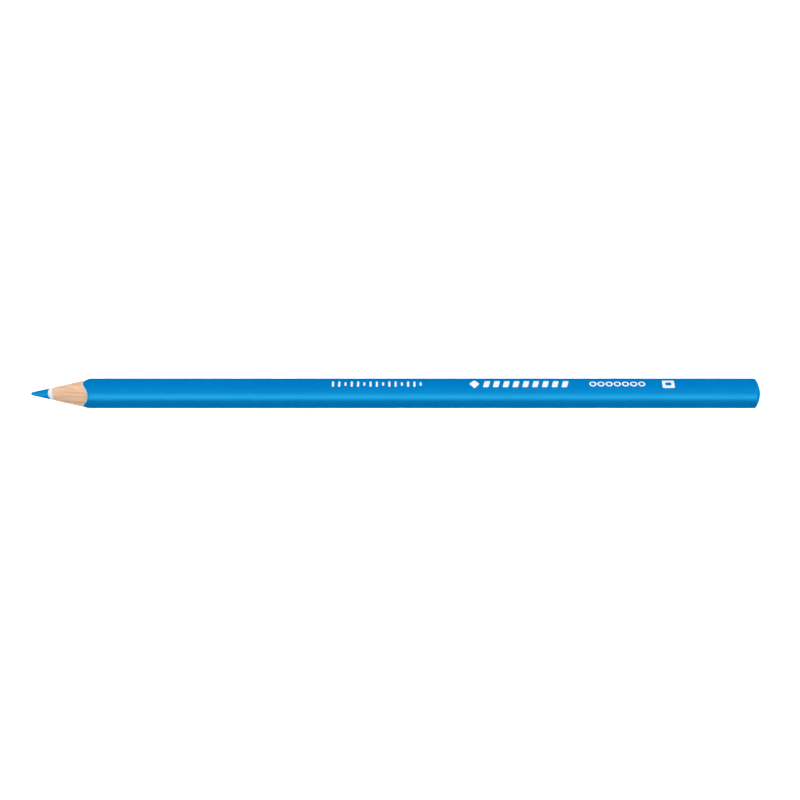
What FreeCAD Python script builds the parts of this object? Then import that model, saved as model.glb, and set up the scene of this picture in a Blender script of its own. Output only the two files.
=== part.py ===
import FreeCAD, Part
import math
import os

# A sharpened triangular coloured pencil, one solid or group of solids for each real piece.
#
# The pencil lies along X with its tip at -X, on one of its three flats at z = 0, with a ridge
# uppermost. Sizes are in millimetres and angles in degrees. Stations along the pencil are measured
# from the tip, and depths are measured inwards from the outermost surface.

# The body
LENGTH = 175.0
FLAT_REACH = 3.28  # from the pencil's axis to the middle of each flat
RIDGE_REACH = 3.79  # from the axis to the crest of each ridge
FLAT_HALF_WIDTH = 0.2
SIDE_RADIUS = 5.2  # the bulge of each side, on either side of its flat

# The coats on the wood, from the outside in
GRIP_COAT = 0.05
COLOUR_COAT = 0.04
PRIMER_COAT = 0.04

# The core and what holds it, none of it quite in the middle
CORE_RADIUS = 1.48
CORE_OFFSET_Y = -0.06
CORE_OFFSET_Z = -0.165
SLEEVE_RADIUS = 1.65  # outside of the core's white coating
SLEEVE_OFFSET_Y = -0.05
SLEEVE_OFFSET_Z = -0.10
GLUE = 0.05

# The sharpened end
TIP_RADIUS = 0.43
CONE_HALF_ANGLE = 12.6
SHOULDER_START_RADIUS = 3.19  # where the straight cone starts to flare
SHOULDER_ARC = 6.06
SHOULDER_LAST_ANGLE = 31.0

# The domed end
DOME_RADIUS = 5.9
DOME_EDGE_RADIUS = 0.8
END_DIP = 0.17
END_PRIMER = 0.08

# The printed foil on the side that faces up and to +Y
FOIL = 0.03
FOIL_LINE = 0.35  # the print's middle line, from the middle of the side towards the ridge
SCALE_START = 72.6
SCALE_PITCH = 1.495
SCALE_COUNT = 15
SCALE_WIDTH = 0.5
SCALE_TALL = 1.85
SCALE_SHORT = 1.2
BADGE_MIDDLE = 106.35
BADGE_LENGTH = 2.4
BADGE_HEIGHT = 2.7
BLOCK_START = 109.3
BLOCK_PITCH = 2.34
BLOCK_COUNT = 9
BLOCK_WIDTH = 1.35
BLOCK_HEIGHT = 2.15
BLOCK_SLANT = 0.5  # how far a block leans towards the tip over its height
RING_START = 134.67
RING_PITCH = 1.947
RING_COUNT = 7
RING_OUTER = 0.86
RING_INNER = 0.5
FRAME_MIDDLE = 152.7
FRAME_LENGTH = 2.9
FRAME_HEIGHT = 2.6
FRAME_BAND = 0.75

COATS = GRIP_COAT + COLOUR_COAT + PRIMER_COAT
END_COATS = END_DIP + END_PRIMER
AXIS_Z = FLAT_REACH
AXIS = FreeCAD.Vector(0, 0, AXIS_Z)
CORE_CENTRE = AXIS + FreeCAD.Vector(0, CORE_OFFSET_Y, CORE_OFFSET_Z)
SLEEVE_CENTRE = AXIS + FreeCAD.Vector(0, SLEEVE_OFFSET_Y, SLEEVE_OFFSET_Z)
GROOVE_RADIUS = SLEEVE_RADIUS + GLUE
TIP_X = -LENGTH / 2
END_X = LENGTH / 2
FLAT_ANGLES = (-90, 30, 150)  # where the three flats face, turning from +Y to +Z
PRINT_ANGLE = 30
OVERRUN = 1.0  # how far a blank or a cutter runs past what it cuts
CLEAR_RADIUS = RIDGE_REACH + OVERRUN
DOME_EDGE_CLEARANCE = 0.06  # the rounded edge of the dome starts this far outside the ridges

# A ridge arc's centre lies this far from the axis, so that it runs smoothly into both sides
SIDE_EXCESS = SIDE_RADIUS - FLAT_REACH
ARC_EXCESS = SIDE_RADIUS - RIDGE_REACH
RIDGE_CENTRE = (ARC_EXCESS**2 - SIDE_EXCESS**2 - FLAT_HALF_WIDTH**2) / (
    SIDE_EXCESS - math.sqrt(3) * FLAT_HALF_WIDTH - 2 * ARC_EXCESS
)
RIDGE_RADIUS = RIDGE_REACH - RIDGE_CENTRE
SIDE_SWEEP = math.degrees(
    math.atan2(
        RIDGE_CENTRE * math.sin(math.radians(60)) - FLAT_HALF_WIDTH,
        RIDGE_CENTRE * math.cos(math.radians(60)) + SIDE_EXCESS,
    )
)


def reach(angle, outward, sideways=0.0):
    """A step across the pencil: outwards along an angle, and sideways at a right angle to it."""
    turn = math.radians(angle)
    y = outward * math.cos(turn) - sideways * math.sin(turn)
    z = outward * math.sin(turn) + sideways * math.cos(turn)
    return FreeCAD.Vector(0, y, z)


def arc(centre, radius, start, end):
    """An arc across the pencil, about a centre, from one angle to another."""
    points = [centre + reach(angle, radius) for angle in (start, (start + end) / 2, end)]
    return Part.Arc(*points).toShape()


def outline(depth):
    """The body's outline at a depth: three flats, each between two side arcs, and three ridge arcs."""
    side_radius = SIDE_RADIUS - depth
    ridge_radius = RIDGE_RADIUS - depth
    edges = []
    for angle in FLAT_ANGLES:
        flat_start = AXIS + reach(angle, FLAT_REACH - depth, -FLAT_HALF_WIDTH)
        flat_end = AXIS + reach(angle, FLAT_REACH - depth, FLAT_HALF_WIDTH)
        edges.append(Part.makeLine(flat_start, flat_end))
        side_centre = AXIS + reach(angle, -SIDE_EXCESS, FLAT_HALF_WIDTH)
        edges.append(arc(side_centre, side_radius, angle, angle + SIDE_SWEEP))
        ridge_centre = AXIS + reach(angle + 60, RIDGE_CENTRE)
        ridge_end = angle + 120 - SIDE_SWEEP
        edges.append(arc(ridge_centre, ridge_radius, angle + SIDE_SWEEP, ridge_end))
        next_centre = AXIS + reach(angle + 120, -SIDE_EXCESS, -FLAT_HALF_WIDTH)
        edges.append(arc(next_centre, side_radius, ridge_end, angle + 120))
    return Part.Wire(edges)


def circle(radius, centre=SLEEVE_CENTRE):
    """A circle across the pencil, about the sleeve's centre unless another is given."""
    return Part.Wire(Part.makeCircle(radius, centre, FreeCAD.Vector(1, 0, 0)))


def layer(outer, inner):
    """The face between one closed outline and another inside it."""
    return Part.Face(outer).cut(Part.Face(inner))


def run(face, start=TIP_X - OVERRUN, end=END_X + OVERRUN):
    """A face drawn at x = 0, run along the pencil from one place to another."""
    return face.translated(FreeCAD.Vector(start, 0, 0)).extrude(FreeCAD.Vector(end - start, 0, 0))


def profile_point(station, radius):
    """A point of a turned profile, drawn below the axis."""
    return FreeCAD.Vector(TIP_X + station, 0, AXIS_Z - radius)


def profile_arc(station, radius, arc_radius, start, end):
    """An arc of a turned profile about a centre, its angles turning from the tip's direction outwards."""
    points = []
    for angle in (start, (start + end) / 2, end):
        turn = math.radians(angle)
        along = station - arc_radius * math.cos(turn)
        points.append(profile_point(along, radius + arc_radius * math.sin(turn)))
    return Part.Arc(*points).toShape()


def sharpened_edges():
    """The point's profile: a round tip, a straight cone and a shoulder that flares past the ridges."""
    half = math.radians(CONE_HALF_ANGLE)
    tip = profile_arc(TIP_RADIUS, 0, TIP_RADIUS, 0, 90 - CONE_HALF_ANGLE)
    cone_station = TIP_RADIUS * (1 - math.sin(half))
    cone_radius = TIP_RADIUS * math.cos(half)
    flare_station = cone_station + (SHOULDER_START_RADIUS - cone_radius) / math.tan(half)
    cone = Part.makeLine(
        profile_point(cone_station, cone_radius),
        profile_point(flare_station, SHOULDER_START_RADIUS),
    )
    shoulder = profile_arc(
        flare_station - SHOULDER_ARC * math.sin(half),
        SHOULDER_START_RADIUS + SHOULDER_ARC * math.cos(half),
        SHOULDER_ARC,
        -90 - CONE_HALF_ANGLE,
        -90 - SHOULDER_LAST_ANGLE,
    )
    return [tip, cone, shoulder]


def domed_edges(depth):
    """The domed end's profile at a depth. Only the outermost one has its edge rounded over."""
    middle = LENGTH - DOME_RADIUS
    radius = DOME_RADIUS - depth
    if depth > 0:
        edge_angle = 180 - math.degrees(math.asin(CLEAR_RADIUS / radius))
        return [profile_arc(middle, 0, radius, edge_angle, 180)]
    edge_reach = RIDGE_REACH + DOME_EDGE_CLEARANCE - DOME_EDGE_RADIUS
    edge_angle = 180 - math.degrees(math.asin(edge_reach / (DOME_RADIUS - DOME_EDGE_RADIUS)))
    edge_station = middle - (DOME_RADIUS - DOME_EDGE_RADIUS) * math.cos(math.radians(edge_angle))
    rounded = profile_arc(edge_station, edge_reach, DOME_EDGE_RADIUS, 90, edge_angle)
    return [rounded, profile_arc(middle, 0, radius, edge_angle, 180)]


def envelope(depth):
    """Everything inside the sharpened point and the domed end, the end taken at a depth."""
    edges = sharpened_edges()
    last = edges[-1].Vertexes[-1].Point
    end_edges = domed_edges(depth)
    first = end_edges[0].Vertexes[0].Point
    edges.append(Part.makeLine(last, profile_point(LENGTH / 2, CLEAR_RADIUS)))
    edges.append(Part.makeLine(profile_point(LENGTH / 2, CLEAR_RADIUS), first))
    edges += end_edges
    edges.append(Part.makeLine(profile_point(LENGTH - depth, 0), profile_point(0, 0)))
    face = Part.Face(Part.Wire(edges))
    return face.revolve(profile_point(0, 0), FreeCAD.Vector(1, 0, 0), 360)


def sharpened(blank):
    """A full-length blank cut to the point, and to the wood's own end under the end coats."""
    return blank.common(UNDER_END_COATS)


def core():
    """The pigmented wax core, whose tip is the writing point."""
    return sharpened(run(Part.Face(circle(CORE_RADIUS, CORE_CENTRE))))


def core_coating():
    """The white sleeve around the core that keeps it from breaking."""
    return sharpened(run(layer(circle(SLEEVE_RADIUS), circle(CORE_RADIUS, CORE_CENTRE))))


def glue_face():
    """The glue across the pencil: a film between the slats and a ring around the coated core."""
    steps = ((-1, -1), (1, -1), (1, 1), (-1, 1), (-1, -1))
    corners = [SLEEVE_CENTRE + reach(0, CLEAR_RADIUS * y, GLUE / 2 * z) for y, z in steps]
    film = Part.Face(Part.makePolygon(corners))
    whole = film.fuse(Part.Face(circle(GROOVE_RADIUS)))
    return whole.cut(Part.Face(circle(SLEEVE_RADIUS))).removeSplitter()


def wood_face():
    """The whole of the wood across the pencil, before the core and the glue are taken out."""
    return Part.Face(outline(COATS))


def slat_glue():
    """The glue that holds the two slats and the core together."""
    return sharpened(run(glue_face().common(wood_face())))


def slat(up):
    """One grooved slat: the wood above the glue film, or the wood below it."""
    wood = wood_face().cut(glue_face()).cut(Part.Face(circle(GROOVE_RADIUS)))
    for face in wood.Faces:
        if (face.CenterOfMass.z > SLEEVE_CENTRE.z) == up:
            return sharpened(run(face))


def coat(outer_depth, thickness):
    """A lacquer layer around the wood, from one depth to another."""
    return sharpened(run(layer(outline(outer_depth), outline(outer_depth + thickness))))


def end_primer():
    """The white base coat on the domed end."""
    base = run(Part.Face(outline(GRIP_COAT + COLOUR_COAT)), LAST_STRETCH)
    return base.common(envelope(END_DIP)).cut(UNDER_END_COATS)


def end_dip():
    """The coloured lacquer that the domed end is dipped in."""
    dip = run(Part.Face(outline(0)), LAST_STRETCH)
    return dip.common(envelope(0)).cut(UNDER_END_COATS).cut(end_primer())


def print_point(station, up):
    """A point under the printed side, at a station and a height above the print's middle line."""
    place = reach(PRINT_ANGLE, FLAT_REACH - OVERRUN, FOIL_LINE + up)
    return AXIS + place + FreeCAD.Vector(TIP_X + station, 0, 0)


def stamp(face):
    """Presses a flat pattern on to the bulged side: what is left is foil of even thickness."""
    film = run(layer(outline(-FOIL), outline(0)))
    return film.common(face.extrude(reach(PRINT_ANGLE, 2 * OVERRUN)))


def patch(middle, corners):
    """A flat patch with straight edges. Its corners are steps along and up from its middle."""
    points = [print_point(middle + along, up) for along, up in corners]
    return Part.Face(Part.makePolygon(points + points[:1]))


def box_corners(length, height, slant=0.0):
    """The corners of a box about its middle, which leans towards the tip by the slant."""
    half, top, lean = length / 2, height / 2, slant / 2
    return [(-half + lean, -top), (half + lean, -top), (half - lean, top), (-half - lean, top)]


def round_patch(middle, radius):
    edge = Part.makeCircle(radius, print_point(middle, 0), reach(PRINT_ANGLE, 1))
    return Part.Face(Part.Wire(edge))


def foil_scale():
    """A row of fine upright lines, every third one short."""
    stamps = []
    for i in range(SCALE_COUNT):
        corners = box_corners(SCALE_WIDTH, SCALE_SHORT if i % 3 == 2 else SCALE_TALL)
        stamps.append(stamp(patch(SCALE_START + i * SCALE_PITCH, corners)))
    return Part.makeCompound(stamps)


def foil_badge():
    """A lozenge."""
    half, top = BADGE_LENGTH / 2, BADGE_HEIGHT / 2
    return stamp(patch(BADGE_MIDDLE, [(-half, 0), (0, -top), (half, 0), (0, top)]))


def foil_blocks():
    """A row of bold slanted blocks."""
    corners = box_corners(BLOCK_WIDTH, BLOCK_HEIGHT, BLOCK_SLANT)
    middles = [BLOCK_START + i * BLOCK_PITCH for i in range(BLOCK_COUNT)]
    return Part.makeCompound([stamp(patch(middle, corners)) for middle in middles])


def foil_rings():
    """A row of small rings."""
    stamps = []
    for i in range(RING_COUNT):
        middle = RING_START + i * RING_PITCH
        ring = round_patch(middle, RING_OUTER).cut(round_patch(middle, RING_INNER))
        stamps.append(stamp(ring))
    return Part.makeCompound(stamps)


def foil_frame():
    """A rectangular frame."""
    inside = box_corners(FRAME_LENGTH - 2 * FRAME_BAND, FRAME_HEIGHT - 2 * FRAME_BAND)
    outside = box_corners(FRAME_LENGTH, FRAME_HEIGHT)
    return stamp(patch(FRAME_MIDDLE, outside).cut(patch(FRAME_MIDDLE, inside)))


LAST_STRETCH = END_X - DOME_RADIUS
UNDER_END_COATS = envelope(END_COATS)

SUBPARTS = {
    "core": core(),
    "core_coating": core_coating(),
    "slat_glue": slat_glue(),
    "slat_upper": slat(True),
    "slat_lower": slat(False),
    "primer_coat": coat(GRIP_COAT + COLOUR_COAT, PRIMER_COAT),
    "colour_coat": coat(GRIP_COAT, COLOUR_COAT),
    "grip_coat": coat(0, GRIP_COAT),
    "end_primer": end_primer(),
    "end_dip": end_dip(),
    "foil_scale": foil_scale(),
    "foil_badge": foil_badge(),
    "foil_blocks": foil_blocks(),
    "foil_rings": foil_rings(),
    "foil_frame": foil_frame(),
}

os.makedirs("parts", exist_ok=True)
for name, shape in SUBPARTS.items():
    solids = shape.Solids
    whole = solids[0] if len(solids) == 1 else Part.makeCompound(solids)
    print(name, len(solids), "solids,", round(whole.Volume, 4), "mm3, valid:", whole.isValid())
    whole.exportStep(f"parts/{name}.step")
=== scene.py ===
import math

import bmesh
import bpy
import numpy as np
from bpy.props import FloatProperty, FloatVectorProperty, IntProperty, PointerProperty
from mathutils import Matrix, Vector


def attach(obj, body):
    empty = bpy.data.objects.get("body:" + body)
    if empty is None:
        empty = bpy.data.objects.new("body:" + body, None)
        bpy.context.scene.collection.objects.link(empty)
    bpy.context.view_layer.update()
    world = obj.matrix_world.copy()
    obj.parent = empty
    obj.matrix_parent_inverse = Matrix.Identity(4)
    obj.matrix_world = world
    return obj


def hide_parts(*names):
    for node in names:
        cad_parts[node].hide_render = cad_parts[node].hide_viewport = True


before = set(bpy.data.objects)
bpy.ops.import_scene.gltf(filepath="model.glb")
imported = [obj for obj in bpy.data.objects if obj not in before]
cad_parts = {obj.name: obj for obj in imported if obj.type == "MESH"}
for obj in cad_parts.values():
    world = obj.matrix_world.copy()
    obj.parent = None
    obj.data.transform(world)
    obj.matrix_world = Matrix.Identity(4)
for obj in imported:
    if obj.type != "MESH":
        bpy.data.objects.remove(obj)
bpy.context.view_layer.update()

bl_info = {
    "name": "Triangular Coloured Pencil",
    "version": (1, 0, 0),
    "blender": (4, 5, 0),
    "location": "3D View > Sidebar > Pencil",
    "description": "Builds the pencil's core, slats, glue, coats, end and foil from formulas",
    "category": "Object",
}

MM = 0.001
BODY = "root"


# Sizes and colours that a user would change


def length(name, millimetres, description):
    """A size property in metres whose default is given in millimetres."""
    return FloatProperty(
        name=name, description=description, default=millimetres * MM, unit="LENGTH", precision=5
    )


def angle(name, degrees, description):
    """An angle property whose default is given in degrees."""
    return FloatProperty(
        name=name, description=description, default=math.radians(degrees), subtype="ANGLE"
    )


def linear(hex_colour):
    """The linear RGBA of an sRGB colour written as six hex digits."""
    channels = [int(hex_colour[i : i + 2], 16) / 255 for i in (0, 2, 4)]
    curved = [c / 12.92 if c <= 0.04045 else ((c + 0.055) / 1.055) ** 2.4 for c in channels]
    return (*curved, 1.0)


def colour(name, hex_colour, description):
    """A colour property whose default is given as sRGB hex digits."""
    return FloatVectorProperty(
        name=name,
        description=description,
        default=linear(hex_colour),
        size=4,
        min=0.0,
        max=1.0,
        subtype="COLOR",
    )


class PencilSizes(bpy.types.PropertyGroup):
    """The pencil's own sizes, the same as the frame's."""

    full_length: length("Length", 175.0, "From the writing tip to the middle of the domed end")
    flat_reach: length("Axis to flat", 3.28, "From the pencil's axis to the middle of each flat")
    ridge_reach: length("Axis to ridge", 3.79, "From the pencil's axis to the crest of each ridge")
    flat_half_width: length("Half flat", 0.2, "Half the width of the narrow true flat on each side")
    side_radius: length("Side radius", 5.2, "Radius of each side's bulge")
    grip_coat: length("Grip coat", 0.05, "Thickness of the outermost soft-touch coat")
    colour_coat: length("Colour coat", 0.04, "Thickness of the coloured lacquer")
    primer_coat: length("Primer coat", 0.04, "Thickness of the white primer on the wood")
    core_radius: length("Core radius", 1.48, "Radius of the wax core")
    core_offset_y: length("Core sideways", -0.06, "How far the core lies off the axis along Y")
    core_offset_z: length("Core upwards", -0.165, "How far the core lies off the axis along Z")
    sleeve_radius: length("Sleeve radius", 1.65, "Outside radius of the core's white sleeve")
    sleeve_offset_y: length("Sleeve sideways", -0.05, "How far the sleeve lies off the axis along Y")
    sleeve_offset_z: length("Sleeve upwards", -0.1, "How far the sleeve lies off the axis along Z")
    glue: length("Glue", 0.05, "Thickness of the glue between the slats and round the sleeve")
    tip_radius: length("Tip radius", 0.43, "Radius of the blunt writing tip")
    cone_half_angle: angle("Cone half-angle", 12.6, "Slope of the sharpened cone to the axis")
    shoulder_start: length("Shoulder start", 3.19, "Radius at which the cone begins to flare")
    shoulder_arc: length("Shoulder arc", 6.06, "Radius of the flare between the cone and the barrel")
    dome_radius: length("Dome radius", 5.9, "Radius of the domed end")
    dome_edge_radius: length("Dome edge", 0.8, "Radius that rounds the domed end's edge")
    dome_edge_clearance: length("Dome edge gap", 0.06, "How far outside the ridges that edge starts")
    end_dip: length("End dip", 0.17, "Thickness of the coloured dip on the domed end")
    end_primer: length("End primer", 0.08, "Thickness of the white primer on the domed end")
    foil: length("Foil", 0.03, "How far the stamped foil stands out of the side")
    foil_line: length("Foil line", 0.35, "From the middle of the side up to the foil's middle line")


class PencilColours(bpy.types.PropertyGroup):
    """The pencil's finishes."""

    barrel: colour("Barrel", "007FC8", "Soft-touch blue of the barrel")
    cut_lacquer: colour("Cut lacquer", "0087D0", "Blue lacquer seen at its cut edge")
    primer: colour("Primer", "F4EFE6", "White primer seen at its cut edge")
    dip: colour("End dip", "0086CE", "Blue of the dipped end")
    core: colour("Core", "008BD8", "Blue pigment of the wax core")
    core_coating: colour("Core coating", "FBFCFD", "White sleeve around the core")
    wood_light: colour("Light wood", "FFD8B6", "Wood between its grain lines")
    wood_dark: colour("Dark wood", "E4AD8A", "Wood along its grain lines")
    glue: colour("Glue", "E8D2A8", "Cured wood glue")
    foil: colour("Foil", "F4F7FA", "White stamped foil")
    floor: colour("Floor", "FAFAFA", "Plain pale floor")
    backdrop: colour("Backdrop", "FFFFFF", "Plain white beyond the floor's edge")


class PencilFoil(bpy.types.PropertyGroup):
    """Where the foil marks stand, measured from the tip, and how many there are."""

    scale_start: length("Scale start", 72.6, "Station of the scale's first line")
    scale_pitch: length("Scale pitch", 1.495, "Distance from one line to the next")
    scale_count: IntProperty(name="Scale lines", description="How many lines the scale has", default=15)
    scale_width: length("Scale line width", 0.5, "Width of one line")
    scale_tall: length("Tall line", 1.85, "Height of the scale's tall lines")
    scale_short: length("Short line", 1.2, "Height of every third line of the scale")
    badge_middle: length("Badge middle", 106.35, "Station of the lozenge's middle")
    badge_length: length("Badge length", 2.4, "Length of the lozenge")
    badge_height: length("Badge height", 2.7, "Height of the lozenge")
    block_start: length("Block start", 109.3, "Station of the first block's middle")
    block_pitch: length("Block pitch", 2.34, "Distance from one block to the next")
    block_count: IntProperty(name="Blocks", description="How many blocks there are", default=9)
    block_width: length("Block width", 1.35, "Width of one block")
    block_height: length("Block height", 2.15, "Height of one block")
    block_slant: length("Block slant", 0.5, "How far a block leans towards the tip over its height")
    ring_start: length("Ring start", 134.67, "Station of the first ring's middle")
    ring_pitch: length("Ring pitch", 1.947, "Distance from one ring to the next")
    ring_count: IntProperty(name="Rings", description="How many rings there are", default=7)
    ring_outer: length("Ring outside", 0.86, "Outer radius of a ring")
    ring_inner: length("Ring inside", 0.5, "Inner radius of a ring")
    frame_middle: length("Frame middle", 152.7, "Station of the frame's middle")
    frame_length: length("Frame length", 2.9, "Outside length of the frame")
    frame_height: length("Frame height", 2.6, "Outside height of the frame")
    frame_band: length("Frame band", 0.75, "Width of the frame's band")


class PencilStage(bpy.types.PropertyGroup):
    """The camera, the floor and the floor's own light."""

    view_width: length("View width", 192.1, "How much of the pencil's plane the picture spans")
    lens: FloatProperty(name="Lens", description="Focal length, in millimetres", default=85.0)
    camera_tilt: angle("Camera tilt", 9.0, "How far the camera leans from overhead towards +Y")
    aim_x: length("Aim along", 1.1, "How far past the pencil's middle the camera aims")
    aim_down: length("Aim down", 1.51, "How far the camera aims towards the picture's lower side")
    floor_half: length("Half floor", 700.0, "Half the floor's side")
    floor_wash: FloatProperty(
        name="Floor wash", description="The floor's own light, in watts per square metre", default=3.4
    )


# The pencil's shape as formulas. Points across the pencil are (y, z) about its axis.

AXIS = np.zeros(2)


def outline(sizes, depth, side_steps=22, ridge_steps=24):
    """The barrel's outline at a depth under its outermost surface.

    A third of it spans normals from -60 to 60 degrees about the way its flat faces. Its point is a
    centre plus (radius - depth) along the normal: within the side's sweep the centre is the side
    arc's, half a flat's width to that side, and beyond it the ridge arc's, on the ridge's own line.
    The two arcs meet smoothly, so that ridge centre follows from the sizes.
    """
    side_excess = sizes.side_radius - sizes.flat_reach
    arc_excess = sizes.side_radius - sizes.ridge_reach
    flat = sizes.flat_half_width
    ridge_centre = (arc_excess**2 - side_excess**2 - flat**2) / (
        side_excess - math.sqrt(3) * flat - 2 * arc_excess
    )
    ridge_side = ridge_centre * math.sin(math.radians(60))
    ridge_out = ridge_centre * math.cos(math.radians(60))
    sweep = math.atan2(ridge_side - flat, ridge_out + side_excess)
    side_turns = np.linspace(0, sweep, side_steps)
    ridge_turns = np.linspace(sweep, math.radians(60), ridge_steps)[1:]
    half = np.concatenate([side_turns, ridge_turns])
    turns = np.concatenate([-half[::-1], half])[:-1]
    sign = np.concatenate([-np.ones(len(half)), np.ones(len(half))])[:-1]
    on_side = np.abs(turns) <= sweep
    radius = np.where(on_side, sizes.side_radius, sizes.ridge_reach - ridge_centre) - depth
    out = np.where(on_side, -side_excess, ridge_out) + radius * np.cos(turns)
    sideways = sign * np.where(on_side, flat, ridge_side) + radius * np.sin(turns)
    faces = np.radians([-90, 30, 150])[:, None]
    y = out * np.cos(faces) - sideways * np.sin(faces)
    z = out * np.sin(faces) + sideways * np.cos(faces)
    return np.stack([y.ravel(), z.ravel()], axis=1)


def barrel_coats(sizes):
    """The thickness of all the coats on the wood of the barrel."""
    return sizes.grip_coat + sizes.colour_coat + sizes.primer_coat


def end_coats(sizes):
    """The thickness of both coats on the wood of the domed end."""
    return sizes.end_dip + sizes.end_primer


def core_centre(sizes):
    """The middle of the core."""
    return np.array([sizes.core_offset_y, sizes.core_offset_z])


def sleeve_centre(sizes):
    """The middle of the sleeve's outside, and of the groove that holds it."""
    return np.array([sizes.sleeve_offset_y, sizes.sleeve_offset_z])


def round_outline(centre, radius, steps=160):
    """A circle: the centre plus the radius times (cos, sin) of each turn."""
    turns = np.linspace(0, math.tau, steps, endpoint=False)
    return centre + radius * np.stack([np.cos(turns), np.sin(turns)], axis=1)


def point_station(sizes, radius):
    """How far from the tip the sharpened surface reaches a radius.

    A ball of the tip's radius first, then a straight cone tangent to it, then an arc tangent to the
    cone, whose centre lies outside, so that the cone flares into the barrel.
    """
    slope = sizes.cone_half_angle
    ball = sizes.tip_radius
    cone_radius = ball * math.cos(slope)
    cone_station = ball * (1 - math.sin(slope))
    flare_station = cone_station + (sizes.shoulder_start - cone_radius) / math.tan(slope)
    arc_station = flare_station - sizes.shoulder_arc * math.sin(slope)
    arc_radius = sizes.shoulder_start + sizes.shoulder_arc * math.cos(slope)
    on_ball = ball - np.sqrt(np.maximum(ball**2 - radius**2, 0))
    on_cone = cone_station + (radius - cone_radius) / math.tan(slope)
    on_arc = arc_station + np.sqrt(np.maximum(sizes.shoulder_arc**2 - (arc_radius - radius) ** 2, 0))
    cone_or_arc = np.where(radius < sizes.shoulder_start, on_cone, on_arc)
    return np.where(radius < cone_radius, on_ball, cone_or_arc)


def dome_station(sizes, radius, depth):
    """How far from the tip the domed end lies at a radius, at a depth under its outermost surface.

    It is a ball of the dome's radius less the depth, about a centre one dome's radius short of the end:
    the centre's station plus the root of the ball's radius squared less the given radius squared.
    """
    ball = sizes.dome_radius - depth
    return sizes.full_length - sizes.dome_radius + np.sqrt(ball**2 - radius**2)


def finished_end_station(sizes, radius):
    """The outermost domed end: the ball, rounded over near the ridges by an arc tangent to it."""
    edge = sizes.dome_edge_radius
    edge_reach = sizes.ridge_reach + sizes.dome_edge_clearance - edge
    edge_middle = math.sqrt((sizes.dome_radius - edge) ** 2 - edge_reach**2)
    meets = edge_reach * sizes.dome_radius / (sizes.dome_radius - edge)
    rounded = np.sqrt(np.maximum(edge**2 - (radius - edge_reach) ** 2, 0))
    on_edge = sizes.full_length - sizes.dome_radius + edge_middle + rounded
    return np.where(radius < meets, dome_station(sizes, np.minimum(radius, meets), 0), on_edge)


def place(sizes, points, station):
    """Points across the pencil put at their stations, in metres, in the frame."""
    x = np.broadcast_to(station, points.shape[:-1]) - sizes.full_length / 2
    return np.stack([x, points[..., 0], points[..., 1] + sizes.flat_reach], axis=-1)


def reach(points):
    """How far points across the pencil lie from its axis."""
    return np.hypot(points[..., 0], points[..., 1])


def between(first, last, steps):
    """Rows of points from one outline to another, in even steps along straight lines."""
    share = np.linspace(0, 1, steps)[:, None, None]
    return first + (last - first) * share


def cut_front(sizes, inner, outer, steps):
    """The sharpened face of a piece, from its inner outline to its outer one."""
    points = between(inner, outer, steps)
    return place(sizes, points, point_station(sizes, reach(points)))


def cut_back(sizes, inner, outer, steps):
    """The domed face of a piece under the end coats, from its outer outline to its inner one."""
    points = between(outer, inner, steps)
    return place(sizes, points, dome_station(sizes, reach(points), end_coats(sizes)))


def wall(front_row, back_row, steps=36):
    """Rows along the pencil between two edges, closer together near each edge.

    The share of the way is (1 - cos t) / 2, with t in even steps from 0 to half a turn.
    """
    share = (0.5 - 0.5 * np.cos(np.linspace(0, math.pi, steps + 2)[1:-1]))[:, None, None]
    return front_row + (back_row - front_row) * share


def sleeve_rows(sizes, inner, outer, face_steps, wall_steps=36):
    """All of a piece between two outlines: sharpened face, outer wall, domed face and inner wall."""
    front = cut_front(sizes, inner, outer, face_steps)
    back = cut_back(sizes, inner, outer, face_steps)
    outer_wall = wall(front[-1], back[0], wall_steps)
    inner_wall = wall(back[-1], front[0], wall_steps)
    return np.concatenate([front, outer_wall, back, inner_wall])


# Meshes and pieces

# Angles between faces, in degrees, from which an edge is shaded sharp: the first is for edges left by a
# blade or a die, the second for edges that flowed or were pressed round
CUT_EDGE = 9.0
ROUNDED_EDGE = 30.0


def make_mesh(name, vertices, faces, sharp_from):
    """A mesh shaded smoothly up to an angle between faces, turned so that its faces point outwards."""
    mesh = bpy.data.meshes.new(name)
    mesh.from_pydata(vertices.tolist(), [], faces)
    mesh.update()
    solid = bmesh.new()
    solid.from_mesh(mesh)
    inside_out = solid.calc_volume(signed=True) < 0
    solid.free()
    if inside_out:
        mesh.flip_normals()
    mesh.polygons.foreach_set("use_smooth", np.ones(len(mesh.polygons), dtype=bool))
    mesh.set_sharp_from_angle(angle=math.radians(sharp_from))
    return mesh


def grid_faces(rows, wrap_rows, wrap_round, first=0):
    """The quads between neighbouring rows and columns of points, and the grid of their numbers.

    The points are numbered from first, row by row. Wrapping joins the last row or column to the first.
    """
    count, columns = rows.shape[:2]
    index = np.arange(count * columns).reshape(count, columns) + first
    if wrap_round:
        index = np.concatenate([index, index[:, :1]], axis=1)
    if wrap_rows:
        index = np.concatenate([index, index[:1]], axis=0)
    corners = [index[:-1, :-1], index[:-1, 1:], index[1:, 1:], index[1:, :-1]]
    return np.stack(corners, axis=-1).reshape(-1, 4).tolist(), index


def fan_faces(centre, ring, reverse):
    """Triangles from one point to each side of a ring of points."""
    corners = [np.full(len(ring) - 1, centre), ring[:-1], ring[1:]]
    if reverse:
        corners = [corners[0], corners[2], corners[1]]
    return np.stack(corners, axis=-1).tolist()


def closed_sleeve(rows, first=0):
    """A grid closed both ways, like a tyre: its points and faces."""
    faces, _ = grid_faces(rows, True, True, first)
    return rows.reshape(-1, 3), faces


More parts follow.
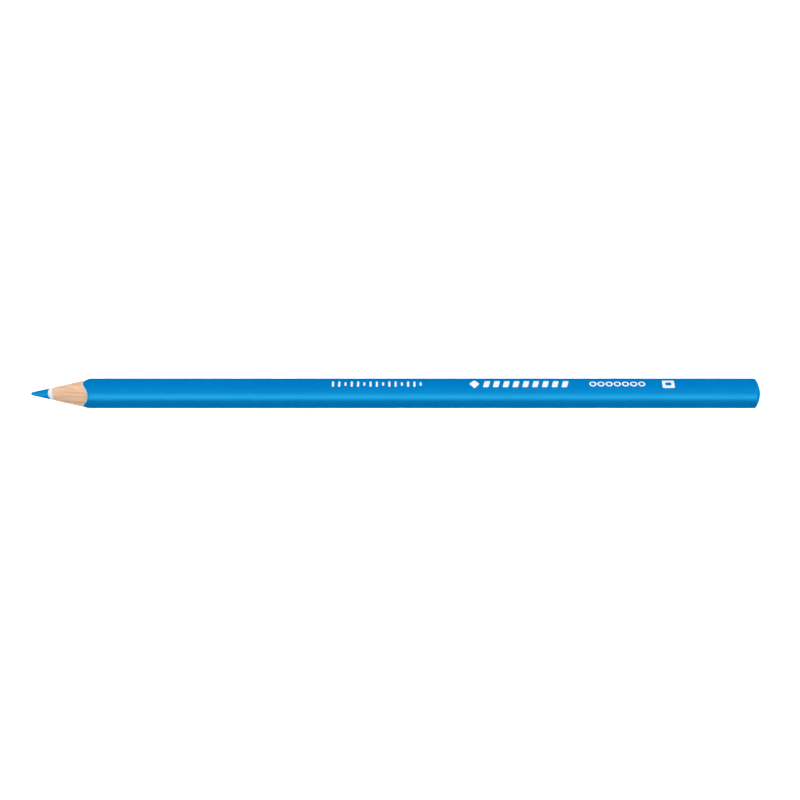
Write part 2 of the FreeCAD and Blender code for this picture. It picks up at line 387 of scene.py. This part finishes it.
def closed_by_poles(rows, first_pole, last_pole, first=0):
    """A grid closed round, with a point at each end: its points and faces."""
    faces, index = grid_faces(rows, False, True, first)
    points = np.concatenate([rows.reshape(-1, 3), [first_pole, last_pole]])
    near = first + rows.shape[0] * rows.shape[1]
    faces += fan_faces(near, index[0], True) + fan_faces(near + 1, index[-1], False)
    return points, faces


def closed_by_ends(rows, first=0):
    """A grid whose last row meets its first, with a flat face over each open side: points and faces."""
    faces, index = grid_faces(rows, True, False, first)
    faces += [index[:-1, 0].tolist(), index[:-1, -1][::-1].tolist()]
    return rows.reshape(-1, 3), faces


def add_piece(name, shape, material, nodes, sharp_from=CUT_EDGE):
    """Makes one object of points and faces, which stands for its nodes of the frame."""
    points, faces = shape
    mesh = make_mesh(name, points, faces, sharp_from)
    mesh.materials.append(material)
    piece = bpy.data.objects.new(name, mesh)
    bpy.context.scene.collection.objects.link(piece)
    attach(piece, BODY)
    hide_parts(*nodes)
    return piece


# Materials


def add_node(tree, kind, settings=None, links=None):
    """Adds a node, sets its properties and unlinked inputs, and links the rest.

    An input goes by its name, or by its number where others share its name.
    """
    node = tree.nodes.new(kind)
    for key, value in (settings or {}).items():
        if isinstance(key, int) or key in node.inputs:
            node.inputs[key].default_value = value
        else:
            setattr(node, key, value)
    for key, socket in (links or {}).items():
        tree.links.new(socket, node.inputs[key])
    return node


def new_material(name, shader_settings):
    """A material with one Principled shader, and object coordinates scaled to millimetres."""
    material = bpy.data.materials.new(name)
    material.use_nodes = True
    tree = material.node_tree
    tree.nodes.clear()
    shader = add_node(tree, "ShaderNodeBsdfPrincipled", shader_settings)
    add_node(tree, "ShaderNodeOutputMaterial", links={"Surface": shader.outputs["BSDF"]})
    where = add_node(tree, "ShaderNodeTexCoord").outputs["Object"]
    to_mm = {"Scale": (1 / MM, 1 / MM, 1 / MM)}
    in_mm = add_node(tree, "ShaderNodeMapping", to_mm, {"Vector": where}).outputs["Vector"]
    return material, tree, shader, in_mm


def pattern(tree, where, per_mm, detail=2.0, stretch=(1, 1, 1), shift=(0, 0, 0)):
    """A cloudy pattern with so many clouds per millimetre, drawn out along an axis by a small stretch."""
    placing = {"Scale": stretch, "Location": shift}
    placed = add_node(tree, "ShaderNodeMapping", placing, {"Vector": where}).outputs["Vector"]
    settings = {"Scale": per_mm, "Detail": detail}
    return add_node(tree, "ShaderNodeTexNoise", settings, {"Vector": placed}).outputs["Fac"]


# Nearly all of a cloudy pattern lies between these two values
PATTERN_LOW, PATTERN_HIGH = 0.3, 0.7

# The numbers of a Mix node's share, its two colours and its mixed colour
MIX_SHARE, MIX_FIRST, MIX_SECOND, MIX_RESULT = 0, 6, 7, 2


def laid_over(tree, clouds, low, high, share, under, over):
    """One colour laid over another: from none of it to a share, as the pattern goes from low to high."""
    span = {"From Min": low, "From Max": high, "To Max": share}
    cover = add_node(tree, "ShaderNodeMapRange", span, {"Value": clouds}).outputs["Result"]
    settings = {"data_type": "RGBA", MIX_SECOND: over}
    links = {MIX_SHARE: cover}
    if isinstance(under, bpy.types.NodeSocket):
        links[MIX_FIRST] = under
    else:
        settings[MIX_FIRST] = under
    return add_node(tree, "ShaderNodeMix", settings, links).outputs[MIX_RESULT]


def tinted(base, factor):
    """A colour made darker or lighter by a factor."""
    return (*[min(c * factor, 1.0) for c in base[:3]], 1.0)


def mottle(tree, shader, clouds, base, darker, lighter, low=PATTERN_LOW, high=PATTERN_HIGH):
    """Makes the base colour drift between two tints of itself, as the pattern goes from low to high."""
    mottled = laid_over(tree, clouds, low, high, 1.0, tinted(base, darker), tinted(base, lighter))
    tree.links.new(mottled, shader.inputs["Base Color"])


def texture(tree, shader, clouds, depth_mm, strength, roughness=None):
    """Gives the surface a pattern's relief, in millimetres of depth, and a range of roughness to suit."""
    if roughness:
        smooth, rough = roughness
        span = {"From Min": PATTERN_LOW, "From Max": PATTERN_HIGH, "To Min": smooth, "To Max": rough}
        varied = add_node(tree, "ShaderNodeMapRange", span, {"Value": clouds})
        tree.links.new(varied.outputs["Result"], shader.inputs["Roughness"])
    relief = {"Distance": depth_mm * MM, "Strength": strength}
    bumps = add_node(tree, "ShaderNodeBump", relief, {"Height": clouds})
    tree.links.new(bumps.outputs["Normal"], shader.inputs["Normal"])


# The blue finishes' broad highlight is tinted so that it stays blue. This is for the looks alone: a real
# lacquer's own reflection is white
BLUE_SHEEN = {"IOR": 1.5, "Specular IOR Level": 1.0, "Specular Tint": (0.07, 0.85, 1.0, 1.0)}


def soft_touch_lacquer(name, base):
    """Polyurethane soft-touch coat, drawn on through a die: even, semi-matte, faintly pebbled."""
    material, tree, shader, where = new_material(name, BLUE_SHEEN)
    drawn = pattern(tree, where, 0.12, detail=3.0, stretch=(0.35, 1, 1))
    mottle(tree, shader, drawn, base, 0.96, 1.04)
    # Real pebbles are a few hundredths of a millimetre across, so these are coarser, to show at all
    pebbles = pattern(tree, where, 2.6)
    texture(tree, shader, pebbles, 0.012, 0.25, roughness=(0.38, 0.46))
    return material


def cut_coat(name, base, roughness):
    """A coat's edge as the sharpener's blade left it: matte, with fine turned lines round it."""
    material, tree, shader, where = new_material(name, {"IOR": 1.5, "Roughness": roughness})
    turned_lines = pattern(tree, where, 3.0, stretch=(3.0, 0.25, 0.25))
    mottle(tree, shader, turned_lines, base, 0.94, 1.03)
    texture(tree, shader, turned_lines, 0.01, 0.4)
    return material


def dipped_lacquer(name, base):
    """Lacquer that the end was dipped in: it flowed out before it dried, so it is smooth and glossier."""
    material, tree, shader, where = new_material(name, {**BLUE_SHEEN, "Roughness": 0.34})
    flow = pattern(tree, where, 0.5, detail=1.0)
    mottle(tree, shader, flow, base, 0.97, 1.05)
    texture(tree, shader, flow, 0.03, 0.3)
    return material


def turned_wood(name, light, dark):
    """Straight-grained pencil wood, cut along a slant: broad and fine streaks, a few short dark pores."""
    material, tree, shader, where = new_material(name, {"IOR": 1.45})
    streaks = pattern(tree, where, 2.2, detail=1.0, stretch=(0.025, 1.0, 0.3))
    # Real fibres are about 0.04 mm wide, so these are bundles of them, to show at all
    fibres = pattern(tree, where, 6.0, stretch=(0.03, 1.0, 0.4), shift=(5, 2, 8))
    pores = pattern(tree, where, 5.0, detail=0.0, stretch=(0.1, 1.0, 0.7), shift=(7, 3, 1))
    streaked = laid_over(tree, streaks, 0.42, 0.68, 0.7, light, dark)
    fibred = laid_over(tree, fibres, 0.4, 0.7, 0.5, streaked, dark)
    pored = laid_over(tree, pores, 0.7, 0.76, 0.25, fibred, tinted(dark, 0.6))
    tree.links.new(pored, shader.inputs["Base Color"])
    texture(tree, shader, fibres, 0.02, 0.3, roughness=(0.5, 0.62))
    return material


def sleeve_plaster(name, base):
    """The core's white sleeve: a chalky coating, matte where it was cut."""
    material, tree, shader, where = new_material(name, {"IOR": 1.5, "Roughness": 0.7})
    # Real chalk grains are far finer than these, which stand for clumps of them
    clumps = pattern(tree, where, 4.0, detail=3.0)
    mottle(tree, shader, clumps, base, 0.93, 1.02)
    texture(tree, shader, clumps, 0.02, 0.3)
    return material


def pigment_wax(name, base):
    """Extruded wax and pigment, shaved to a point: a dull sheen, with fine shaving lines and grains."""
    material, tree, shader, where = new_material(name, BLUE_SHEEN)
    shaving_lines = pattern(tree, where, 4.0, stretch=(2.0, 0.3, 0.3))
    # Real pigment grains are far finer than these, which stand for clumps of them
    clumps = pattern(tree, where, 9.0)
    mottle(tree, shader, clumps, base, 0.9, 1.08, low=0.35)
    texture(tree, shader, shaving_lines, 0.02, 0.35, roughness=(0.4, 0.54))
    return material


def cured_glue(name, base):
    """Cured wood glue: a thin, slightly cloudy film."""
    material, tree, shader, where = new_material(name, {"IOR": 1.48, "Roughness": 0.4})
    mottle(tree, shader, pattern(tree, where, 1.5), base, 0.9, 1.05)
    return material


def stamped_foil(name, base):
    """White pigment foil, hot-stamped: it covers a little unevenly and is faintly rough."""
    material, tree, shader, where = new_material(name, {"IOR": 1.5, "Roughness": 0.5})
    cover = pattern(tree, where, 1.8, detail=3.0)
    mottle(tree, shader, cover, base, 0.92, 1.02, low=0.35, high=0.65)
    texture(tree, shader, cover, 0.01, 0.3)
    return material


def studio_board(name, base):
    """Matte studio board: no sheen to speak of, barely mottled."""
    settings = {"IOR": 1.5, "Roughness": 0.9, "Specular IOR Level": 0.1}
    material, tree, shader, where = new_material(name, settings)
    mottle(tree, shader, pattern(tree, where, 0.02), base, 0.99, 1.01)
    return material


def finish_of(name, maker, *values):
    """A finish made once and shared by the pieces that have it."""
    return bpy.data.materials.get(name) or maker(name, *values)


def white_primer(colours):
    """The white primer, cut by the blade, which the barrel and the domed end share."""
    return finish_of("cut_white_primer", cut_coat, colours.primer, 0.6)


# The pieces: their shapes, and an operator for each of them or for a group of like ones


def core_shape(sizes, ball_steps=24, cone_steps=24, dome_steps=12):
    """The core: its outline shrunk about the pencil's axis in steps, on the point and on the domed face.

    The steps are finer over the tip's ball than over the cone. A wall joins the two, and the poles lie
    on the axis.
    """
    edge = round_outline(core_centre(sizes), sizes.core_radius)
    ball_share = sizes.tip_radius / sizes.core_radius
    ball_shares = np.linspace(0, ball_share, ball_steps)[1:]
    cone_shares = np.linspace(ball_share, 1, cone_steps)[1:]
    front_points = edge * np.concatenate([ball_shares, cone_shares])[:, None, None]
    front = place(sizes, front_points, point_station(sizes, reach(front_points)))
    back_points = edge * np.linspace(1, 0, dome_steps)[:-1, None, None]
    back = place(sizes, back_points, dome_station(sizes, reach(back_points), end_coats(sizes)))
    rows = np.concatenate([front, wall(front[-1], back[0]), back])
    tip = place(sizes, AXIS, 0.0)
    end = place(sizes, AXIS, dome_station(sizes, 0.0, end_coats(sizes)))
    return closed_by_poles(rows, tip, end)


class PENCIL_OT_core(bpy.types.Operator):
    """Build the wax core, shaved to the writing point"""

    bl_idname = "pencil.core"
    bl_label = "Wax Core"

    def execute(self, context):
        sizes = context.scene.pencil_sizes
        wax = finish_of("blue_pigment_wax", pigment_wax, context.scene.pencil_colours.core)
        add_piece("wax_core", core_shape(sizes), wax, ["core"])
        return {"FINISHED"}


class PENCIL_OT_core_coating(bpy.types.Operator):
    """Build the white sleeve around the core"""

    bl_idname = "pencil.core_coating"
    bl_label = "Core Coating"

    def execute(self, context):
        sizes = context.scene.pencil_sizes
        inner = round_outline(core_centre(sizes), sizes.core_radius)
        outer = round_outline(sleeve_centre(sizes), sizes.sleeve_radius)
        rows = sleeve_rows(sizes, inner, outer, face_steps=6)
        chalk = finish_of("white_core_sleeve", sleeve_plaster, context.scene.pencil_colours.core_coating)
        add_piece("core_sleeve", closed_sleeve(rows), chalk, ["core_coating"])
        return {"FINISHED"}


def groove_radius(sizes):
    """The radius of the groove that holds the core, its sleeve and the glue round it."""
    return sizes.sleeve_radius + sizes.glue


def arch(sizes, ring, up):
    """The run of a ring's points above the glue film, or below it, ended exactly at the film's face."""
    level = sleeve_centre(sizes)[1] + up * sizes.glue / 2
    inside = (ring[:, 1] - level) * up > 0
    start = int(np.flatnonzero(inside & ~np.roll(inside, 1))[0])
    ring = np.roll(ring, -start, axis=0)
    count = int(inside.sum())
    ends = []
    for out_point, in_point in ((ring[-1], ring[0]), (ring[count], ring[count - 1])):
        share = (level - out_point[1]) / (in_point[1] - out_point[1])
        ends.append(out_point + (in_point - out_point) * share)
    return np.concatenate([ends[:1], ring[:count], ends[1:]])


def slat_rows(sizes, up):
    """One slat: its outer edge is an arch of the wood's outline, and its inner edge is the groove.

    Each point of the groove lies the same way from the groove's centre as the arch's point does, except
    next to the glue film, where both lie on the film's face.
    """
    outer = arch(sizes, outline(sizes, barrel_coats(sizes)), up)
    centre = sleeve_centre(sizes)
    turns = np.arctan2(outer[:, 1] - centre[1], outer[:, 0] - centre[0])
    film_turn = math.asin(sizes.glue / 2 / groove_radius(sizes))
    turns = up * np.clip(up * turns, film_turn, math.pi - film_turn)
    inner = centre + groove_radius(sizes) * np.stack([np.cos(turns), np.sin(turns)], axis=1)
    return sleeve_rows(sizes, inner, outer, face_steps=40)


class PENCIL_OT_slats(bpy.types.Operator):
    """Build the two grooved wooden slats"""

    bl_idname = "pencil.slats"
    bl_label = "Wooden Slats"

    def execute(self, context):
        sizes = context.scene.pencil_sizes
        colours = context.scene.pencil_colours
        wood = finish_of("turned_pencil_wood", turned_wood, colours.wood_light, colours.wood_dark)
        for name, node, up in (("upper_slat", "slat_upper", 1), ("lower_slat", "slat_lower", -1)):
            add_piece(name, closed_by_ends(slat_rows(sizes, up)), wood, [node])
        return {"FINISHED"}


def glue_shape(sizes):
    """The glue: a ring between the sleeve and the groove, and a film from the groove to each side.

    Each film spans two levels, half its thickness below and above the groove's centre. It starts on
    the groove, at the root of its radius squared less that half squared, and ends where the wood does.
    """
    centre = sleeve_centre(sizes)
    ring_inside = round_outline(centre, sizes.sleeve_radius)
    ring_outside = round_outline(centre, groove_radius(sizes))
    points, faces = closed_sleeve(sleeve_rows(sizes, ring_inside, ring_outside, face_steps=3))
    wood_edge = outline(sizes, barrel_coats(sizes))
    edges = [arch(sizes, wood_edge, up)[[0, -1]] for up in (-1, 1)]
    half_chord = math.sqrt(groove_radius(sizes) ** 2 - (sizes.glue / 2) ** 2)
    levels = centre[1] + np.array([-1, 1]) * sizes.glue / 2
    for side in (-1, 1):
        outer = np.array([edge[np.argmax(edge[:, 0] * side)] for edge in edges])
        inner = np.stack([np.full(2, centre[0] + side * half_chord), levels], axis=1)
        # The mirrored film's columns run the other way, so that its faces point outwards too
        rows = sleeve_rows(sizes, inner[::side], outer[::side], face_steps=24)
        film_points, film_faces = closed_by_ends(rows, len(points))
        points = np.concatenate([points, film_points])
        faces += film_faces
    return points, faces


class PENCIL_OT_glue(bpy.types.Operator):
    """Build the glue: a ring round the coated core and a film on each side of it"""

    bl_idname = "pencil.glue"
    bl_label = "Glue"

    def execute(self, context):
        sizes = context.scene.pencil_sizes
        glue = finish_of("cured_wood_glue", cured_glue, context.scene.pencil_colours.glue)
        add_piece("glue_seam", glue_shape(sizes), glue, ["slat_glue"])
        return {"FINISHED"}


class PENCIL_OT_coats(bpy.types.Operator):
    """Build the primer, the coloured lacquer and the soft-touch coat on the barrel"""

    bl_idname = "pencil.coats"
    bl_label = "Coats"

    def execute(self, context):
        sizes = context.scene.pencil_sizes
        colours = context.scene.pencil_colours
        under_grip = sizes.grip_coat
        under_colour = under_grip + sizes.colour_coat
        under_primer = barrel_coats(sizes)
        primer = white_primer(colours)
        lacquer = finish_of("cut_blue_lacquer", cut_coat, colours.cut_lacquer, 0.4)
        soft_touch = finish_of("soft_touch_blue", soft_touch_lacquer, colours.barrel)
        coats = (
            ("primer_lacquer", "primer_coat", "white_primer", under_colour, under_primer, primer),
            ("colour_lacquer", "colour_coat", "blue_lacquer", under_grip, under_colour, lacquer),
            ("grip_lacquer", "grip_coat", "blue_grip", 0.0, under_grip, soft_touch),
        )
        for name, node, slot, top, under, finish in coats:
            inner, outer = outline(sizes, under), outline(sizes, top)
            rows = sleeve_rows(sizes, inner, outer, face_steps=4, wall_steps=60)
            add_piece(name, closed_sleeve(rows), finish, [node])
        return {"FINISHED"}


def end_shapes(sizes, steps=28):
    """The domed end's primer and its dip: outlines shrunk about the axis, laid on three dome faces.

    The primer lies between the face of the wood and the face under the dip, inside the primed outline.
    The dip covers it, goes down round its edge and out over the ends of the other coats, and has the
    outermost face.
    """
    primed = outline(sizes, sizes.grip_coat + sizes.colour_coat)
    dipped = outline(sizes, 0.0)
    shares = np.linspace(0, 1, steps)[1:, None, None]
    covered, finished = primed * shares, dipped * shares[::-1]
    wood_depth = end_coats(sizes)
    on_wood = place(sizes, covered, dome_station(sizes, reach(covered), wood_depth))
    on_primer = place(sizes, covered, dome_station(sizes, reach(covered), sizes.end_dip))
    outside = place(sizes, finished, finished_end_station(sizes, reach(finished)))
    rim = place(sizes, dipped, dome_station(sizes, reach(dipped), wood_depth))
    wood_pole = place(sizes, AXIS, dome_station(sizes, 0.0, wood_depth))
    primer_pole = place(sizes, AXIS, dome_station(sizes, 0.0, sizes.end_dip))
    end_pole = place(sizes, AXIS, finished_end_station(sizes, 0.0))
    primer = closed_by_poles(np.concatenate([on_wood, on_primer[::-1]]), wood_pole, primer_pole)
    dip_rows = np.concatenate([on_primer, on_wood[-1:], rim[None], outside])
    return primer, closed_by_poles(dip_rows, primer_pole, end_pole)


class PENCIL_OT_end(bpy.types.Operator):
    """Build the primer and the coloured dip on the domed end"""

    bl_idname = "pencil.end"
    bl_label = "Domed End"

    def execute(self, context):
        colours = context.scene.pencil_colours
        primer_shape, dip_shape = end_shapes(context.scene.pencil_sizes)
        primer = white_primer(colours)
        add_piece("end_base", primer_shape, primer, ["end_primer"])
        lacquer = finish_of("dipped_blue_lacquer", dipped_lacquer, colours.dip)
        add_piece("dipped_end", dip_shape, lacquer, ["end_dip"], ROUNDED_EDGE)
        return {"FINISHED"}


def mark_outline(length_along, height, power, slant=0.0, steps=96):
    """A closed outline between an ellipse and a box, with rounded corners.

    The point at a turn is (cos, sin) over a root, the power's, of the sum of both raised to the power,
    so that a high power squares it off. It is then scaled to half the length and half the height, and
    leaned towards the tip by the slant over its full height.
    """
    turns = np.linspace(0, math.tau, steps, endpoint=False)
    along, up = np.cos(turns), np.sin(turns)
    stretch = (np.abs(along) ** power + np.abs(up) ** power) ** (-1 / power)
    along, up = along * stretch * length_along / 2, up * stretch * height / 2
    return np.stack([along - slant * up / height, up], axis=1)


def on_side(sizes, middle, steps, height):
    """Steps from a foil mark's middle, laid on the bulged side at a height above its surface.

    Up the side from its flat, the bulge falls away as its arc does, and the height is along the arc's
    normal, so foil keeps an even thickness.
    """
    up = steps[..., 1] + sizes.foil_line
    past_flat = np.maximum(np.abs(up) - sizes.flat_half_width, 0)
    turn = np.arcsin(past_flat / sizes.side_radius)
    radius = sizes.side_radius + height
    out = radius * np.cos(turn) - (sizes.side_radius - sizes.flat_reach)
    sideways = up + np.sign(up) * height * np.sin(turn)
    facing = math.radians(30)
    y = out * math.cos(facing) - sideways * math.sin(facing)
    z = out * math.sin(facing) + sideways * math.cos(facing)
    return place(sizes, np.stack([y, z], axis=-1), middle + steps[..., 0])


# A mark's edge is rounded from this share of the foil's height up, and from this share of the way out
EDGE_HEIGHT = 0.7
EDGE_SHARE = 0.96


def foil_disc(sizes, middle, edge, first, steps=9):
    """A filled foil mark inside an outline: points and faces."""
    shares = np.linspace(0, 1, steps)[1:, None, None]
    under = on_side(sizes, middle, edge * shares, 0.0)
    side = on_side(sizes, middle, edge[None], EDGE_HEIGHT * sizes.foil)
    over = on_side(sizes, middle, edge * shares[::-1] * EDGE_SHARE, sizes.foil)
    poles = [on_side(sizes, middle, np.zeros(2), height) for height in (0.0, sizes.foil)]
    return closed_by_poles(np.concatenate([under, side, over]), *poles, first)


def foil_band(sizes, middle, edge, hole, first, steps=6):
    """A foil mark between an outline and a hole in it: points and faces."""
    inner, outer = (hole + (edge - hole) * share for share in (1 - EDGE_SHARE, EDGE_SHARE))
    under = on_side(sizes, middle, between(hole, edge, steps), 0.0)
    outer_side = on_side(sizes, middle, edge[None], EDGE_HEIGHT * sizes.foil)
    over = on_side(sizes, middle, between(outer, inner, steps), sizes.foil)
    inner_side = on_side(sizes, middle, hole[None], EDGE_HEIGHT * sizes.foil)
    return closed_sleeve(np.concatenate([under, outer_side, over, inner_side]), first)


def foil_row(sizes, middles, edges, hole=None):
    """Several foil marks, each with its own middle and outline, as one set of points and faces."""
    points = np.zeros((0, 3))
    faces = []
    for middle, edge in zip(middles, edges):
        if hole is None:
            mark = foil_disc(sizes, middle, edge, len(points))
        else:
            mark = foil_band(sizes, middle, edge, hole, len(points))
        points = np.concatenate([points, mark[0]])
        faces += mark[1]
    return points, faces


def stations(start, pitch, count):
    """The middles of a row of marks: the first one's station and then a pitch more for each."""
    return start + np.arange(count) * pitch


# The power that shapes each mark's outline: 2 gives a circle, more a box, and close to 1 a lozenge
SQUARE_LINE, SQUARE_BLOCK, SQUARE_FRAME, ROUND_RING, LOZENGE = 8, 9, 12, 2, 1.12


class PENCIL_OT_foil(bpy.types.Operator):
    """Build the white foil marks: a scale, a lozenge, slanted blocks, rings and a frame"""

    bl_idname = "pencil.foil"
    bl_label = "Foil Marks"

    def execute(self, context):
        sizes = context.scene.pencil_sizes
        marks = context.scene.pencil_foil
        heights = (marks.scale_tall, marks.scale_tall, marks.scale_short)
        line_shapes = [mark_outline(marks.scale_width, height, SQUARE_LINE) for height in heights]
        lines = [line_shapes[i % 3] for i in range(marks.scale_count)]
        line_middles = stations(marks.scale_start, marks.scale_pitch, marks.scale_count)
        lozenge = mark_outline(marks.badge_length, marks.badge_height, LOZENGE)
        block = mark_outline(marks.block_width, marks.block_height, SQUARE_BLOCK, marks.block_slant)
        block_middles = stations(marks.block_start, marks.block_pitch, marks.block_count)
        ring = mark_outline(2 * marks.ring_outer, 2 * marks.ring_outer, ROUND_RING)
        ring_hole = mark_outline(2 * marks.ring_inner, 2 * marks.ring_inner, ROUND_RING)
        ring_middles = stations(marks.ring_start, marks.ring_pitch, marks.ring_count)
        frame_edge = mark_outline(marks.frame_length, marks.frame_height, SQUARE_FRAME)
        bands = 2 * marks.frame_band
        frame_hole = mark_outline(marks.frame_length - bands, marks.frame_height - bands, SQUARE_FRAME)
        prints = {
            "scale": foil_row(sizes, line_middles, lines),
            "badge": foil_row(sizes, [marks.badge_middle], [lozenge]),
            "blocks": foil_row(sizes, block_middles, [block] * marks.block_count),
            "rings": foil_row(sizes, ring_middles, [ring] * marks.ring_count, ring_hole),
            "frame": foil_row(sizes, [marks.frame_middle], [frame_edge], frame_hole),
        }
        foil = finish_of("stamped_white_foil", stamped_foil, context.scene.pencil_colours.foil)
        for name, shape in prints.items():
            add_piece(f"{name}_print", shape, foil, [f"foil_{name}"], ROUNDED_EDGE)
        return {"FINISHED"}


# The stage


# Each light's name, its angle from overhead and the heading in which it leans from there, both in
# degrees, with heading 0 towards +Y and 90 towards +X. Then its width and depth in metres, and its
# watts. The soft boxes are kept out of the glossy reflections, which show only the strip, and the
# strip lights nothing in any other way.
SOFT_BOXES = (
    ("top_softbox", 30.0, 0.0, 1.0, 0.3, 4.1),
    ("side_softbox", 60.0, 0.0, 1.0, 0.3, 8.3),
    ("front_softbox", -50.0, 0.0, 1.0, 0.3, 1.7),
    ("low_softbox", -80.0, 0.0, 1.0, 0.2, 7.2),
    ("end_softbox", 88.0, 90.0, 0.4, 0.2, 8.5),
    ("under_softbox", 180.0, 0.0, 1.0, 1.0, 4.0),
)
HIGHLIGHT_STRIP = ("highlight_strip", -16.0, 0.0, 2.0, 1.1, 22.5)
# How far each light stands from the pencil, in metres
LIGHT_DISTANCE = 1.0


def add_facing(name, data, target, tilt, heading, distance):
    """A camera or light that faces its target from a distance, leaning from overhead in a heading.

    It looks back along the way it leans, with its upper side turned towards the heading.
    """
    level = Vector((math.sin(heading), math.cos(heading), 0))
    overhead = Vector((0, 0, 1))
    towards = level * math.sin(tilt) + overhead * math.cos(tilt)
    upwards = level * math.cos(tilt) - overhead * math.sin(tilt)
    placed = bpy.data.objects.new(name, data)
    placed.location = target + towards * distance
    placed.rotation_mode = "QUATERNION"
    facing = Matrix((upwards.cross(towards), upwards, towards)).transposed()
    placed.rotation_quaternion = facing.to_quaternion()
    bpy.context.scene.collection.objects.link(placed)
    return placed


def add_area_light(name, tilt, heading, width, depth, watts, target):
    """A rectangular light, leaning from overhead in a heading, that faces its target."""
    data = bpy.data.lights.new(name, "AREA")
    data.shape = "RECTANGLE"
    data.size, data.size_y = width, depth
    data.energy = watts
    return add_facing(name, data, target, math.radians(tilt), math.radians(heading), LIGHT_DISTANCE)


def add_floor_wash(floor, strength):
    """An even light for the floor alone, which nothing else blocks, so that it stays pale throughout."""
    data = bpy.data.lights.new("floor_wash", "SUN")
    data.energy = strength
    wash = bpy.data.objects.new("floor_wash", data)
    wash.location = (0, 0, LIGHT_DISTANCE)
    bpy.context.scene.collection.objects.link(wash)
    only_floor = bpy.data.collections.new("only_floor")
    only_floor.objects.link(floor)
    wash.light_linking.receiver_collection = only_floor
    wash.light_linking.blocker_collection = only_floor


def add_floor(half, colours):
    """A level square of studio board under the pencil, which is only seen.

    It neither lights the pencil nor shows in its gloss, and light passes through it, as the soft box
    underneath stands in for the pale light that a floor gives back.
    """
    corners = [(-half, -half, 0), (half, -half, 0), (half, half, 0), (-half, half, 0)]
    mesh = bpy.data.meshes.new("floor")
    mesh.from_pydata(corners, [], [(0, 1, 2, 3)])
    mesh.materials.append(finish_of("matte_studio_board", studio_board, colours.floor))
    floor = bpy.data.objects.new("floor", mesh)
    bpy.context.scene.collection.objects.link(floor)
    floor.visible_diffuse = False
    floor.visible_glossy = False
    floor.visible_shadow = False
    return floor


class PENCIL_OT_stage(bpy.types.Operator):
    """Build the pale floor, the soft lights and the camera"""

    bl_idname = "pencil.stage"
    bl_label = "Stage"

    def execute(self, context):
        scene = context.scene
        stage = scene.pencil_stage
        floor = add_floor(stage.floor_half, scene.pencil_colours)
        add_floor_wash(floor, stage.floor_wash)

        middle = Vector((0, 0, scene.pencil_sizes.flat_reach))
        for settings in SOFT_BOXES:
            add_area_light(*settings, middle).visible_glossy = False
        add_area_light(*HIGHLIGHT_STRIP, middle).visible_diffuse = False

        # The backdrop is only seen, and gives the pencil no light of its own
        world = bpy.data.worlds.new("soft_studio")
        scene.world = world
        world.use_nodes = True
        world.node_tree.nodes["Background"].inputs["Color"].default_value = scene.pencil_colours.backdrop
        world.cycles_visibility.diffuse = False
        world.cycles_visibility.glossy = False
        scene.view_settings.view_transform = "Standard"

        data = bpy.data.cameras.new("camera")
        data.lens = stage.lens
        distance = stage.view_width * stage.lens / data.sensor_width
        picture_up = Vector((0, math.cos(stage.camera_tilt), -math.sin(stage.camera_tilt)))
        aim = middle + Vector((stage.aim_x, 0, 0)) - picture_up * stage.aim_down
        scene.camera = add_facing("camera", data, aim, stage.camera_tilt, 0.0, distance)
        return {"FINISHED"}


STEPS = ("core", "core_coating", "slats", "glue", "coats", "end", "foil", "stage")


class PENCIL_PT_build(bpy.types.Panel):
    """The pencil's build steps and sizes"""

    bl_idname = "PENCIL_PT_build"
    bl_label = "Coloured Pencil"
    bl_space_type = "VIEW_3D"
    bl_region_type = "UI"
    bl_category = "Pencil"

    def draw(self, context):
        for step in STEPS:
            self.layout.operator(f"pencil.{step}")
        for group in GROUPS:
            values = getattr(context.scene, group)
            for key in values.__annotations__:
                self.layout.prop(values, key)


GROUPS = {
    "pencil_sizes": PencilSizes,
    "pencil_colours": PencilColours,
    "pencil_foil": PencilFoil,
    "pencil_stage": PencilStage,
}
CLASSES = (
    *GROUPS.values(),
    PENCIL_OT_core,
    PENCIL_OT_core_coating,
    PENCIL_OT_slats,
    PENCIL_OT_glue,
    PENCIL_OT_coats,
    PENCIL_OT_end,
    PENCIL_OT_foil,
    PENCIL_OT_stage,
    PENCIL_PT_build,
)


def register():
    for cls in CLASSES:
        bpy.utils.register_class(cls)
    for name, group in GROUPS.items():
        setattr(bpy.types.Scene, name, PointerProperty(type=group))


def unregister():
    for name in GROUPS:
        delattr(bpy.types.Scene, name)
    for cls in reversed(CLASSES):
        bpy.utils.unregister_class(cls)


def main():
    """Registers the classes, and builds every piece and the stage."""
    register()
    for step in STEPS:
        getattr(bpy.ops.pencil, step)()


if __name__ == "__main__":
    main()
